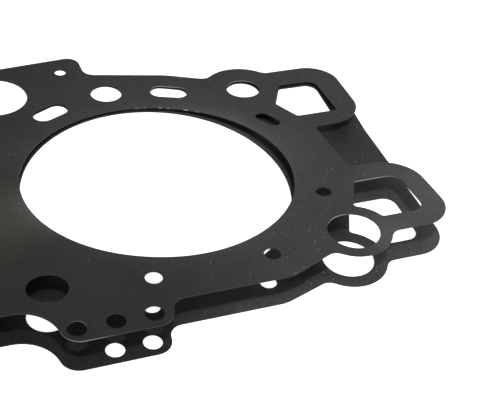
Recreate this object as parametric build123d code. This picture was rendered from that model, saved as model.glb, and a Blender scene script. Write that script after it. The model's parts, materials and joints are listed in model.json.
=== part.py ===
# Cylinder head gasket: two punched sheets of coated steel in register.
# The lower sheet lies flat. The upper sheet rests on it along the rear and springs up toward the front.
# X runs along the engine, Y toward the rear edge, Z up. The origin is the bore's axis at the underside.
# A reach is measured outward from the nearest column or row of bolts.
import math
import os

from build123d import *

# Sheets
sheet = 0.4

# Cylinder bore and the head bolts around it
bore_d = 100
bolt_span_x = 108
bolt_span_y = 105
bolt_hole_d = 13.8
dowel_hole_d = 18.6

# Fluid passages behind the bore
rear_hole_d = 12.6
rear_hole_x = -1.4
rear_hole_reach = 11
passage_d = 25.8
passage_inset = 8.8
passage_reach = 18.8

# Drains and slots around the bore: each slot has an angle and a gap from the bore to its centre line
drain_d = 5.9
drain_gap = 10.5
drain_angles = (-27.4, -68.8, -109.4)
slot_length = 15.3
slot_width = 8.4
slot_places = ((68, 12.8), (115.5, 11.3))
short_slot_length = 11.5
short_slot_width = 5.6
short_slot_angle = 26

# Main edges. The lower sheet's front edge lies further back than the upper one's.
left_reach = 22
right_reach = 39.3
rear_reach = 35.5
front_reach = 15.7
step_reach = 8.9
front_inset = 0.9
left_front_r = 5
left_rear_r = 12

# Rear tab with its small hole
rear_tab_end = -6.3
rear_tab_reach = 40.3
rear_tab_foot = 26.5
rear_tab_r = 5
rear_tab_hole_d = 4.7
rear_tab_hole_x = -15.5
rear_tab_hole_reach = 30.5

# Rear edge from the tab down to the bolt land, and front edge up to the dowel land
rear_slope_x = 26
rear_slope_reach = 18.6
rear_slope_end = 6
rear_slope_r = 30
front_slope_x = 24.5
front_slope_r = 14

# Front tab with a row of holes
tab_reach = 25.4
tab_inset = 0.1
tab_width = 35.1
tab_left_flare = 3
tab_right_flare = 1.2
tab_left_r = 6.5
tab_right_r = 6
tab_root_r = 5
tab_step_r = 13.2
tab_hole_d = 6.4
tab_hole_reach = 19.9
tab_hole_margin = 5.8
tab_hole_pitch = 12.5
tab_hole_count = 3

# Rounded lands around the rear bolt and the dowel
bolt_land_r = 16.4
dowel_land_r = 14.2
land_fillet = 4.5
rim_tolerance = 0.001

# Ears on the right and the notch between them. The sprung sheet's front ear is drawn back a little.
ear_outer_r = 12
rear_ear_flare = 3.3
rear_ear_reach = 9.9
rear_ear_height = 46.2
rear_ear_r = 16.4
front_ear_reach = 4.8
front_ear_height = 42.2
front_ear_r = 14.3
front_ear_drawback = 1.1
notch_depth = 23.3
notch_r = 2.5

# Windows in the ears
window_rim = 8.6
window_r = 4.6
window_corner_r = 1.5
rear_window_rim = 11
rear_window_height = 25.7
rear_window_waist = 14.1
rear_window_left = 8.2
rear_window_top_left = 15.8
rear_window_bottom_left = 12.9
rear_window_flare = 0.9
front_window_top_rim = 9.9
front_window_rim = 8.2
front_window_left = 2
front_window_top_left = 13.2

# Rise of the upper sheet: the turn of its bend lines, then its side profile from rear to front
bend_turn = 3.3
contact_reach = 28.7
lift_r = 363
lift_angle = 6.6
ramp_length = 82
level_r = 160
level_angle = 8.3

bore_r = bore_d / 2
bolt_x = bolt_span_x / 2
bolt_y = bolt_span_y / 2
rear_bolt = Vector(bolt_x, bolt_y)
dowel = Vector(bolt_x, -bolt_y)
left_edge = -bolt_x - left_reach
right_edge = bolt_x + right_reach
front_edge = -bolt_y - front_reach
step_edge = -bolt_y - step_reach
tab_edge = -bolt_y - tab_reach
tab_left = -bolt_x + tab_inset
tab_right = tab_left + tab_width
rear_ear_top = bolt_y + rear_ear_reach
rear_ear_bottom = rear_ear_top - rear_ear_height
front_ear_bottom = -bolt_y - front_ear_reach
front_ear_top = front_ear_bottom + front_ear_height
notch_x = right_edge - notch_depth
window_right = right_edge - window_rim


def rounded(corners):
    """Face inside a closed run of straight edges, each corner given as x, y and its radius.

    Where a side is too short for the roundings at its two ends, both give way in proportion.
    """
    points = [Vector(x, y) for x, y, _ in corners]
    sides = [after - here for here, after in zip(points, points[1:] + points[:1])]
    steepness = [math.tan(math.radians(sides[i - 1].get_angle(sides[i])) / 2) for i in range(len(points))]
    needs = [r * steep for (_, _, r), steep in zip(corners, steepness)]
    shares = [min(1, sides[i].length / (needs[i] + needs[i + 1 - len(points)])) for i in range(len(points))]
    radii = [r * min(shares[i - 1], shares[i]) for i, (_, _, r) in enumerate(corners)]
    return make_face(FilletPolyline(*points, radius=radii, close=True))


def blend_rim(face, centre, radius, fillet_r):
    """Rounds the corners where the edges of a face meet a circle's rim."""
    meetings = [v for v in face.vertices() if abs((Vector(v) - centre).length - radius) < rim_tolerance]
    return fillet(meetings, fillet_r)


def add_land(face, centre, radius):
    """Round land blended into the outline."""
    return blend_rim(face + Pos(centre) * Circle(radius), centre, radius, land_fillet)


def outline(front, back, notched):
    """Outer edge of one sheet, taken anticlockwise from the front left corner."""
    ear_bottom = front_ear_bottom + back
    corners = [
        (left_edge, step_edge, left_front_r),
        (tab_left - tab_left_flare, step_edge, tab_step_r),
        (tab_left, tab_edge, tab_left_r),
        (tab_right, tab_edge, tab_right_r),
        (tab_right + tab_right_flare, front, tab_root_r),
        (front_slope_x, front, front_slope_r),
        (bolt_x, ear_bottom, notch_r),
        (right_edge, ear_bottom, ear_outer_r),
    ]
    if notched:
        corners += [
            (right_edge, front_ear_top, front_ear_r),
            (notch_x, front_ear_top, notch_r),
            (notch_x, rear_ear_bottom, notch_r),
        ]
    corners += [
        (right_edge, rear_ear_bottom, rear_ear_r),
        (right_edge + rear_ear_flare, rear_ear_top, ear_outer_r),
        (bolt_x, rear_ear_top, notch_r),
        (bolt_x, bolt_y + rear_slope_end, notch_r),
        (rear_slope_x, bolt_y + rear_slope_reach, rear_slope_r),
        (rear_tab_end, bolt_y + rear_tab_foot, rear_tab_r),
        (rear_tab_end, bolt_y + rear_tab_reach, rear_tab_r),
        (left_edge, bolt_y + rear_reach, left_rear_r),
    ]
    face = add_land(rounded(corners), rear_bolt, bolt_land_r)
    return add_land(face, dowel + Vector(0, back), dowel_land_r)


def windows(back):
    """Large cut-outs in the two ears. The front one runs round the dowel's land."""
    top = rear_ear_top - rear_window_rim
    bottom = top - rear_window_height
    rear = rounded([
        (window_right + rear_window_flare, top, window_r),
        (bolt_x + rear_window_top_left, top, window_corner_r),
        (bolt_x + rear_window_left, top - rear_window_waist, window_corner_r),
        (bolt_x + rear_window_bottom_left, bottom, window_corner_r),
        (window_right, bottom, window_corner_r),
    ])
    top = front_ear_top - front_window_top_rim
    bottom = front_ear_bottom + front_window_rim + back
    front = rounded([
        (window_right, top, window_r),
        (bolt_x + front_window_top_left, top, window_corner_r),
        (bolt_x + front_window_left, bottom, window_corner_r),
        (window_right, bottom, window_r),
    ])
    front -= Pos(dowel) * Circle(dowel_land_r)
    return rear + blend_rim(front, dowel, dowel_land_r, window_corner_r)


def slot(angle, gap, length, width):
    """Coolant slot lying along a circle about the bore."""
    return Rot(Z=angle) * Pos(bore_r + gap, 0) * SlotOverall(length, width, rotation=90)


def holes(tab_holes, back):
    """Everything punched through a sheet, with the given number of holes in the front tab."""
    cuts = Circle(bore_r) + windows(back)
    for corner in (rear_bolt, Vector(-bolt_x, bolt_y), Vector(-bolt_x, -bolt_y)):
        cuts += Pos(corner) * Circle(bolt_hole_d / 2)
    cuts += Pos(dowel) * Circle(dowel_hole_d / 2)
    cuts += Pos(rear_hole_x, bolt_y + rear_hole_reach) * Circle(rear_hole_d / 2)
    cuts += Pos(-bolt_x + passage_inset, bolt_y + passage_reach) * Circle(passage_d / 2)
    cuts += Pos(rear_tab_hole_x, bolt_y + rear_tab_hole_reach) * Circle(rear_tab_hole_d / 2)
    for angle in drain_angles:
        cuts += Rot(Z=angle) * Pos(bore_r + drain_gap, 0) * Circle(drain_d / 2)
    for angle, gap in slot_places:
        cuts += slot(angle, gap, slot_length, slot_width)
    cuts += slot(short_slot_angle, drain_gap, short_slot_length, short_slot_width)
    for i in range(tab_holes):
        x = tab_right - tab_hole_margin - i * tab_hole_pitch
        cuts += Pos(x, -bolt_y - tab_hole_reach) * Circle(tab_hole_d / 2)
    return cuts


def sprung_slab():
    """Sheet bent to the side profile: flat at the rear, lifting, then nearly level at the front.

    It is cut from a blank that reaches past the gasket on every side.
    """
    spare = right_edge - left_edge
    contact_y = bolt_y + contact_reach
    rest = Line((contact_y + spare, sheet), (contact_y, sheet))
    lift = JernArc(rest @ 1, rest % 1, lift_r, -lift_angle)
    ramp = PolarLine(lift @ 1, ramp_length, direction=lift % 1)
    level = JernArc(ramp @ 1, ramp % 1, level_r, level_angle)
    lip = PolarLine(level @ 1, spare, direction=level % 1)
    under = Wire([rest, lift, ramp, level, lip])
    profile = make_face(offset(under, amount=sheet, side=Side.RIGHT))
    return Rot(Z=bend_turn) * extrude(Plane.YZ * profile, spare, both=True)


lower_layer = extrude(outline(front_edge + front_inset, 0, False) - holes(tab_hole_count - 1, 0), sheet)

slab = sprung_slab()
slab_top = slab.bounding_box().max.Z
upper_plan = outline(front_edge, front_ear_drawback, True) - holes(tab_hole_count, front_ear_drawback)
upper_layer = extrude(upper_plan, slab_top) & slab

os.makedirs("parts", exist_ok=True)
export_step(lower_layer, "parts/lower_layer.step")
export_step(upper_layer, "parts/upper_layer.step")
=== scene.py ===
import json
import math

import bpy
from mathutils import Matrix, Vector

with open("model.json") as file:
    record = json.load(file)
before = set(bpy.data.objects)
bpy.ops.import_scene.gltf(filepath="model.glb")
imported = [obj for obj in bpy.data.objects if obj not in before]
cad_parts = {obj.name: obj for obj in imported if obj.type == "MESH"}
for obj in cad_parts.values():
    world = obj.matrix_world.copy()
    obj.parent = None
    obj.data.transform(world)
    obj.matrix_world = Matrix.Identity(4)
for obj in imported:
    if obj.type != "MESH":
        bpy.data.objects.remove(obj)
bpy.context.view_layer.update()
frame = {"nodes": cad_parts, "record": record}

# Photograph's frame and the camera that took it, in pixels, degrees and metres
PHOTO_WIDTH = 478
FOCAL_PX = 1200
SENSOR_MM = 36
NEAREST_SEEN = 0.01
VIEW_AZIMUTH = -25.15
VIEW_ELEVATION = 39.34
VIEW_ROLL = 6.89
VIEW_POINT = (-0.1180, -0.3229, 0.2814)

# Lamps: name, place, the point they face, size across in metres, power in watts and colour
LAMPS = (
    ("key", (-0.18, -0.51, 1.0), (0, 0, 0), 0.08, 5.3, (1.0, 1.0, 0.97)),
    ("top", (0.10, -0.14, 0.40), (0.04, -0.03, 0), 0.22, 0.44, (1.0, 0.99, 0.97)),
    ("front", (0, -0.50, 0.15), (0, -0.03, 0), 0.25, 0.14, (1.0, 1.0, 0.98)),
    ("left", (-0.40, -0.22, 0.22), (0.03, 0.02, 0), 0.20, 0.32, (1.0, 1.0, 0.97)),
    ("right", (0.165, -0.115, 0.07), (0.085, -0.04, 0.01), 0.08, 0.11, (0.97, 0.95, 1.0)),
)
AMBIENT = 0.02
WHITE = (1, 1, 1, 1)

# Floor: half its side in metres, its colour, and the share of its white that is its own glow
FLOOR_HALF = 3.0
FLOOR_COLOUR = (0.8, 0.8, 0.8, 1)
FLOOR_GLOW = 0.88

# Coat: linear colours at the two ends of the gasket, and where along X these ends are; besides a
# drift of hue from olive to violet, the right end is about twice as light as the left, painted light
# to the right and painted shade to the left
COAT_OLIVE_PAINTED_SHADE = (0.0232, 0.0231, 0.0212, 1)
COAT_VIOLET_PAINTED_LIGHT = (0.0455, 0.0447, 0.0465, 1)
COAT_REACH = (-0.07, 0.09)
COAT_SPECULAR = 0.085
COAT_ROUGHNESS = (0.42, 0.56)

# Cloudy patches and fine grain of the coat: sizes in metres and the range of tone that they give
PATCH_SIZE = 0.018
PATCH_DETAIL = 4
PATCH_TONE = (0.86, 1.14)
GRAIN_SIZE = 0.0008
GRAIN_DETAIL = 3
GRAIN_TONE = (0.76, 1.24)
GRAIN_BUMP = 0.25
GRAIN_DEPTH = 0.00003
NOISE_MIDDLE = (0.3, 0.7)

# Painted light and shade: places where a sheet's coat is painted lighter where more light falls and,
# on the lower sheet's panel between the ears, darker where shade falls: centre, reach and colour
PAINTED_LIGHT_AND_SHADE_PLACES = {
    "upper_layer": (
        # Painted light: lighter left of the bore, at the rear, at the front, on the front right ear
        # and on the ring.
        ((-0.066, -0.010, 0.008), 0.028, (0.060, 0.060, 0.046, 1)),
        ((0.010, 0.068, 0.002), 0.055, (0.043, 0.0432, 0.0400, 1)),
        ((0.032, -0.058, 0.013), 0.024, (0.052, 0.052, 0.052, 1)),
        ((0.092, -0.040, 0.012), 0.036, (0.074, 0.072, 0.080, 1)),
        ((0.066, -0.058, 0.012), 0.016, (0.080, 0.079, 0.081, 1)),
    ),
    "lower_layer": (
        # Painted light on the front strip and the front right ear; painted shade on the panel
        # between the ears.
        ((0.022, -0.066, 0.000), 0.042, (0.074, 0.073, 0.071, 1)),
        ((0.088, -0.046, 0.000), 0.042, (0.071, 0.069, 0.076, 1)),
        ((0.086, 0.014, 0.000), 0.030, (0.026, 0.0256, 0.0265, 1)),
    ),
}

# Painted sheen: a pale band that fades outward from the bore's rim, standing in for a glossy
# highlight: its least share, and where it is stronger
MOUNTS = {mount["name"]: mount for mount in frame["record"]["mounts"]}
BORE_RADIUS = MOUNTS["cylinder_bore"]["dims"]["r_mm"] / 1000
PAINTED_SHEEN_COLOUR = (0.115, 0.113, 0.112, 1)
PAINTED_SHEEN_FADE = 0.005
PAINTED_SHEEN_LEAST = 0.18
PAINTED_SHEEN_PLACES = (
    ((0.044, 0.030, 0.008), 0.055),
    ((-0.052, -0.012, 0.010), 0.024),
)

# Dust: spacing and largest radius of the flecks, and the share of cells that hold one at each end
DUST_COLOUR = (0.17, 0.17, 0.17, 1)
DUST_SPACING = 0.0021
DUST_RADIUS = 0.00034
DUST_SHARE = (0.03, 0.65)

# Punched walls: the most that their normal may rise, their colours, and the places of one sheet
# where they are pale
EDGE_RISE = 0.6
EDGE_COLOUR = (0.055, 0.055, 0.053, 1)
PALE_WALL_COLOUR = (0.52, 0.51, 0.49, 1)
PALE_WALL_SHEET = "upper_layer"
PALE_WALL_PLACES = (
    ((0.072, -0.025, 0.017), 0.016),
    ((0.050, -0.042, 0.012), 0.009),
    ((-0.048, -0.0770, 0.017), 0.010),
    ((0.0235, 0.0625, 0.006), 0.014),
    ((0.054, 0.0594, 0.008), 0.013),
)
PALE_FLECK_PLACES = (
    ((0.023, 0.0444, 0.004), 0.020),
    ((0.0056, 0.0497, 0.004), 0.004),
)
PALE_FLECK_SIZE = 0.0022
PALE_FLECK_DETAIL = 2
PALE_FLECK_LEVEL = 0.55

# Sockets of a colour mix: its factor and two colours, and its result
MIX_INPUTS = (0, 6, 7)
MIX_RESULT = 2


def add_node(tree, kind, **settings):
    """New node with its properties set by name."""
    node = tree.nodes.new(kind)
    for name, value in settings.items():
        setattr(node, name, value)
    return node


def feed(tree, socket, value):
    """Links an input to a socket, or sets it to a plain value."""
    if isinstance(value, bpy.types.NodeSocket):
        tree.links.new(value, socket)
    else:
        socket.default_value = value


def maths(tree, operation, first, second=0):
    """Math node whose inputs are sockets or plain numbers."""
    node = add_node(tree, "ShaderNodeMath", operation=operation)
    feed(tree, node.inputs[0], first)
    feed(tree, node.inputs[1], second)
    return node.outputs[0]


def mix_colour(tree, factor, first, second):
    """Colour mix whose inputs are sockets or plain colours."""
    node = add_node(tree, "ShaderNodeMix", data_type="RGBA")
    for index, value in zip(MIX_INPUTS, (factor, first, second)):
        feed(tree, node.inputs[index], value)
    return node.outputs[MIX_RESULT]


def map_range(tree, value, source, target, kind="LINEAR"):
    """Maps a value from one range on to another."""
    node = add_node(tree, "ShaderNodeMapRange", interpolation_type=kind)
    names = ("From Min", "From Max", "To Min", "To Max")
    for name, number in zip(names, (*source, *target)):
        node.inputs[name].default_value = number
    tree.links.new(value, node.inputs["Value"])
    return node.outputs[0]


def noise(tree, place, size, detail):
    """Noise whose features are about the given size in metres."""
    node = add_node(tree, "ShaderNodeTexNoise")
    node.inputs["Scale"].default_value = 1 / size
    node.inputs["Detail"].default_value = detail
    tree.links.new(place, node.inputs["Vector"])
    return node.outputs["Fac"]


def along_x(tree, place, ends):
    """Goes smoothly from one value at the left end of the gasket to another at the right."""
    parts = add_node(tree, "ShaderNodeSeparateXYZ")
    tree.links.new(place, parts.inputs[0])
    return map_range(tree, parts.outputs["X"], COAT_REACH, ends, "SMOOTHSTEP")


def near_mask(tree, place, places):
    """One at each of the given places, fading to zero around them."""
    near = 0
    for centre, reach in places:
        away = add_node(tree, "ShaderNodeVectorMath", operation="DISTANCE")
        away.inputs[1].default_value = centre
        tree.links.new(place, away.inputs[0])
        fade = maths(tree, "SUBTRACT", 1, maths(tree, "DIVIDE", away.outputs["Value"], reach))
        near = maths(tree, "MAXIMUM", near, fade)
    return near


def painted_sheen_mask(tree, place):
    """Where a painted sheen makes the coat pale: strongest at the bore's rim and near a few places.
    """
    plan = add_node(tree, "ShaderNodeVectorMath", operation="MULTIPLY")
    plan.inputs[1].default_value = (1, 1, 0)
    tree.links.new(place, plan.inputs[0])
    radius = add_node(tree, "ShaderNodeVectorMath", operation="LENGTH")
    tree.links.new(plan.outputs[0], radius.inputs[0])
    inward = maths(tree, "SUBTRACT", BORE_RADIUS, radius.outputs["Value"])
    decay = maths(tree, "EXPONENT", maths(tree, "DIVIDE", inward, PAINTED_SHEEN_FADE))
    fade = maths(tree, "MINIMUM", decay, 1)
    share = maths(tree, "MAXIMUM", near_mask(tree, place, PAINTED_SHEEN_PLACES), PAINTED_SHEEN_LEAST)
    return maths(tree, "MULTIPLY", fade, share)


def dust_mask(tree, place):
    """One where a fleck of dust lies: a dot in some of the cells, more of them to the right."""
    cells = add_node(tree, "ShaderNodeTexVoronoi")
    cells.inputs["Scale"].default_value = 1 / DUST_SPACING
    tree.links.new(place, cells.inputs["Vector"])
    chance = add_node(tree, "ShaderNodeSeparateColor")
    tree.links.new(cells.outputs["Color"], chance.inputs[0])
    radius = maths(tree, "MULTIPLY", chance.outputs["Green"], DUST_RADIUS / DUST_SPACING)
    near = maths(tree, "LESS_THAN", cells.outputs["Distance"], radius)
    picked = maths(tree, "LESS_THAN", chance.outputs["Red"], along_x(tree, place, DUST_SHARE))
    return maths(tree, "MULTIPLY", near, picked)


def edge_mask(tree):
    """One on the punched walls, which stand upright, and zero on the faces of the sheet."""
    geometry = add_node(tree, "ShaderNodeNewGeometry")
    parts = add_node(tree, "ShaderNodeSeparateXYZ")
    tree.links.new(geometry.outputs["True Normal"], parts.inputs[0])
    rise = maths(tree, "ABSOLUTE", parts.outputs["Z"])
    return maths(tree, "LESS_THAN", rise, EDGE_RISE)


def pale_wall_mask(tree, place):
    """Where a punched wall is pale: whole stretches, and small pale flecks along the bore's far rim.
    """
    fleck_noise = noise(tree, place, PALE_FLECK_SIZE, PALE_FLECK_DETAIL)
    pale_flecks = maths(tree, "GREATER_THAN", fleck_noise, PALE_FLECK_LEVEL)
    pale_flecks = maths(tree, "MULTIPLY", near_mask(tree, place, PALE_FLECK_PLACES), pale_flecks)
    return maths(tree, "MAXIMUM", near_mask(tree, place, PALE_WALL_PLACES), pale_flecks)


def coat_and_painted_light(tree, place, grain, painted_light_and_shade):
    """Charcoal with random patches and grain and a hue drifting from olive to violet, with painted
    light lighter to the right, painted light and shade at listed places, a painted sheen round the
    bore, and dust.
    """
    patch = noise(tree, place, PATCH_SIZE, PATCH_DETAIL)
    cloud = map_range(tree, patch, NOISE_MIDDLE, PATCH_TONE)
    tone = maths(tree, "MULTIPLY", cloud, map_range(tree, grain, NOISE_MIDDLE, GRAIN_TONE))
    # Painted light and shade: the coat is made darker at the left end and lighter at the right.
    hue_with_painted_light = mix_colour(tree, along_x(tree, place, (0, 1)), COAT_OLIVE_PAINTED_SHADE, COAT_VIOLET_PAINTED_LIGHT)
    # Painted light and painted shade at the listed places of each sheet.
    for centre, reach, colour in painted_light_and_shade:
        hue_with_painted_light = mix_colour(tree, near_mask(tree, place, ((centre, reach),)), hue_with_painted_light, colour)
    # Painted sheen: the coat is made pale along the bore's rim and near two places.
    hue_with_painted_light = mix_colour(tree, painted_sheen_mask(tree, place), hue_with_painted_light, PAINTED_SHEEN_COLOUR)
    shade = add_node(tree, "ShaderNodeVectorMath", operation="SCALE")
    tree.links.new(hue_with_painted_light, shade.inputs[0])
    tree.links.new(tone, shade.inputs["Scale"])
    return mix_colour(tree, dust_mask(tree, place), shade.outputs[0], DUST_COLOUR)


def wall_colour(tree, place, pale_walls):
    """Dull punched walls, part of them pale on one sheet."""
    if not pale_walls:
        return EDGE_COLOUR
    return mix_colour(tree, pale_wall_mask(tree, place), EDGE_COLOUR, PALE_WALL_COLOUR)


def coated_steel(name, painted_light_and_shade, pale_walls):
    """Sheet steel with a matt, finely grained coat on its faces, whose colour carries painted light
    and shade, and thin punched walls.
    """
    material = bpy.data.materials.new(name)
    material.use_nodes = True
    tree = material.node_tree
    shader = tree.nodes["Principled BSDF"]
    shader.inputs["Specular IOR Level"].default_value = COAT_SPECULAR
    place = add_node(tree, "ShaderNodeTexCoord").outputs["Object"]
    grain = noise(tree, place, GRAIN_SIZE, GRAIN_DETAIL)
    coat = coat_and_painted_light(tree, place, grain, painted_light_and_shade)
    colour = mix_colour(tree, edge_mask(tree), coat, wall_colour(tree, place, pale_walls))
    tree.links.new(colour, shader.inputs["Base Color"])
    rough = map_range(tree, grain, NOISE_MIDDLE, COAT_ROUGHNESS)
    tree.links.new(rough, shader.inputs["Roughness"])
    bump = add_node(tree, "ShaderNodeBump")
    bump.inputs["Strength"].default_value = GRAIN_BUMP
    bump.inputs["Distance"].default_value = GRAIN_DEPTH
    tree.links.new(grain, bump.inputs["Height"])
    tree.links.new(bump.outputs[0], shader.inputs["Normal"])
    return material


def dress_sheets():
    """Each sheet of the gasket keeps its shape and gets its own coat."""
    for name, sheet in frame["nodes"].items():
        coat = coated_steel(name + "_coat", PAINTED_LIGHT_AND_SHADE_PLACES[name], name == PALE_WALL_SHEET)
        sheet.data.materials.clear()
        sheet.data.materials.append(coat)


def seen_directly(tree):
    """One for what the camera or a reflected or see-through ray meets, zero for other light."""
    path = add_node(tree, "ShaderNodeLightPath")
    seen = path.outputs["Is Camera Ray"]
    for other in ("Is Glossy Ray", "Is Transmission Ray"):
        seen = maths(tree, "MAXIMUM", seen, path.outputs[other])
    return seen


def white_world():
    """Even soft light all round, and a white background wherever it is seen directly."""
    world = bpy.data.worlds.new("studio")
    bpy.context.scene.world = world
    world.use_nodes = True
    tree = world.node_tree
    back = tree.nodes["Background"]
    back.inputs["Color"].default_value = WHITE
    strength = maths(tree, "MAXIMUM", seen_directly(tree), AMBIENT)
    tree.links.new(strength, back.inputs["Strength"])


def white_floor():
    """Floor that looks white and still takes a faint shadow of the sheets."""
    bpy.ops.mesh.primitive_plane_add(size=2 * FLOOR_HALF)
    floor = bpy.context.object
    floor.name = "floor"
    material = bpy.data.materials.new("floor_white")
    material.use_nodes = True
    tree = material.node_tree
    shader = tree.nodes["Principled BSDF"]
    shader.inputs["Base Color"].default_value = FLOOR_COLOUR
    shader.inputs["Roughness"].default_value = 1
    shader.inputs["Specular IOR Level"].default_value = 0
    shader.inputs["Emission Color"].default_value = WHITE
    glow = maths(tree, "MULTIPLY", seen_directly(tree), FLOOR_GLOW)
    tree.links.new(glow, shader.inputs["Emission Strength"])
    floor.data.materials.append(material)


def add_lamp(name, place, aim, size, power, colour):
    """Square area lamp that faces a point."""
    lamp = bpy.data.lights.new(name, "AREA")
    lamp.size = size
    lamp.energy = power
    lamp.color = colour
    holder = bpy.data.objects.new(name, lamp)
    holder.location = place
    ahead = Vector(aim) - Vector(place)
    holder.rotation_euler = ahead.to_track_quat("-Z", "Y").to_euler()
    holder.visible_camera = False
    bpy.context.scene.collection.objects.link(holder)


def add_camera():
    """Camera at the photograph's place, turn and lens."""
    azimuth = math.radians(VIEW_AZIMUTH)
    elevation = math.radians(VIEW_ELEVATION)
    roll = math.radians(VIEW_ROLL)
    up = Vector((0, 0, 1))
    level = Vector((math.cos(azimuth), math.sin(azimuth), 0))
    ahead = Vector((-math.sin(azimuth), math.cos(azimuth), 0))
    forward = ahead * math.cos(elevation) - up * math.sin(elevation)
    down = -up * math.cos(elevation) - ahead * math.sin(elevation)
    image_right = level * math.cos(roll) - down * math.sin(roll)
    image_down = level * math.sin(roll) + down * math.cos(roll)
    lens = bpy.data.cameras.new("camera")
    lens.sensor_fit = "HORIZONTAL"
    lens.sensor_width = SENSOR_MM
    lens.lens = FOCAL_PX / PHOTO_WIDTH * SENSOR_MM
    lens.clip_start = NEAREST_SEEN
    camera = bpy.data.objects.new("camera", lens)
    camera.matrix_world = Matrix((image_right, -image_down, -forward)).transposed().to_4x4()
    camera.location = VIEW_POINT
    bpy.context.scene.collection.objects.link(camera)
    bpy.context.scene.camera = camera


dress_sheets()
white_world()
white_floor()
for lamp in LAMPS:
    add_lamp(*lamp)
add_camera()
bpy.context.scene.view_settings.view_transform = "Standard"
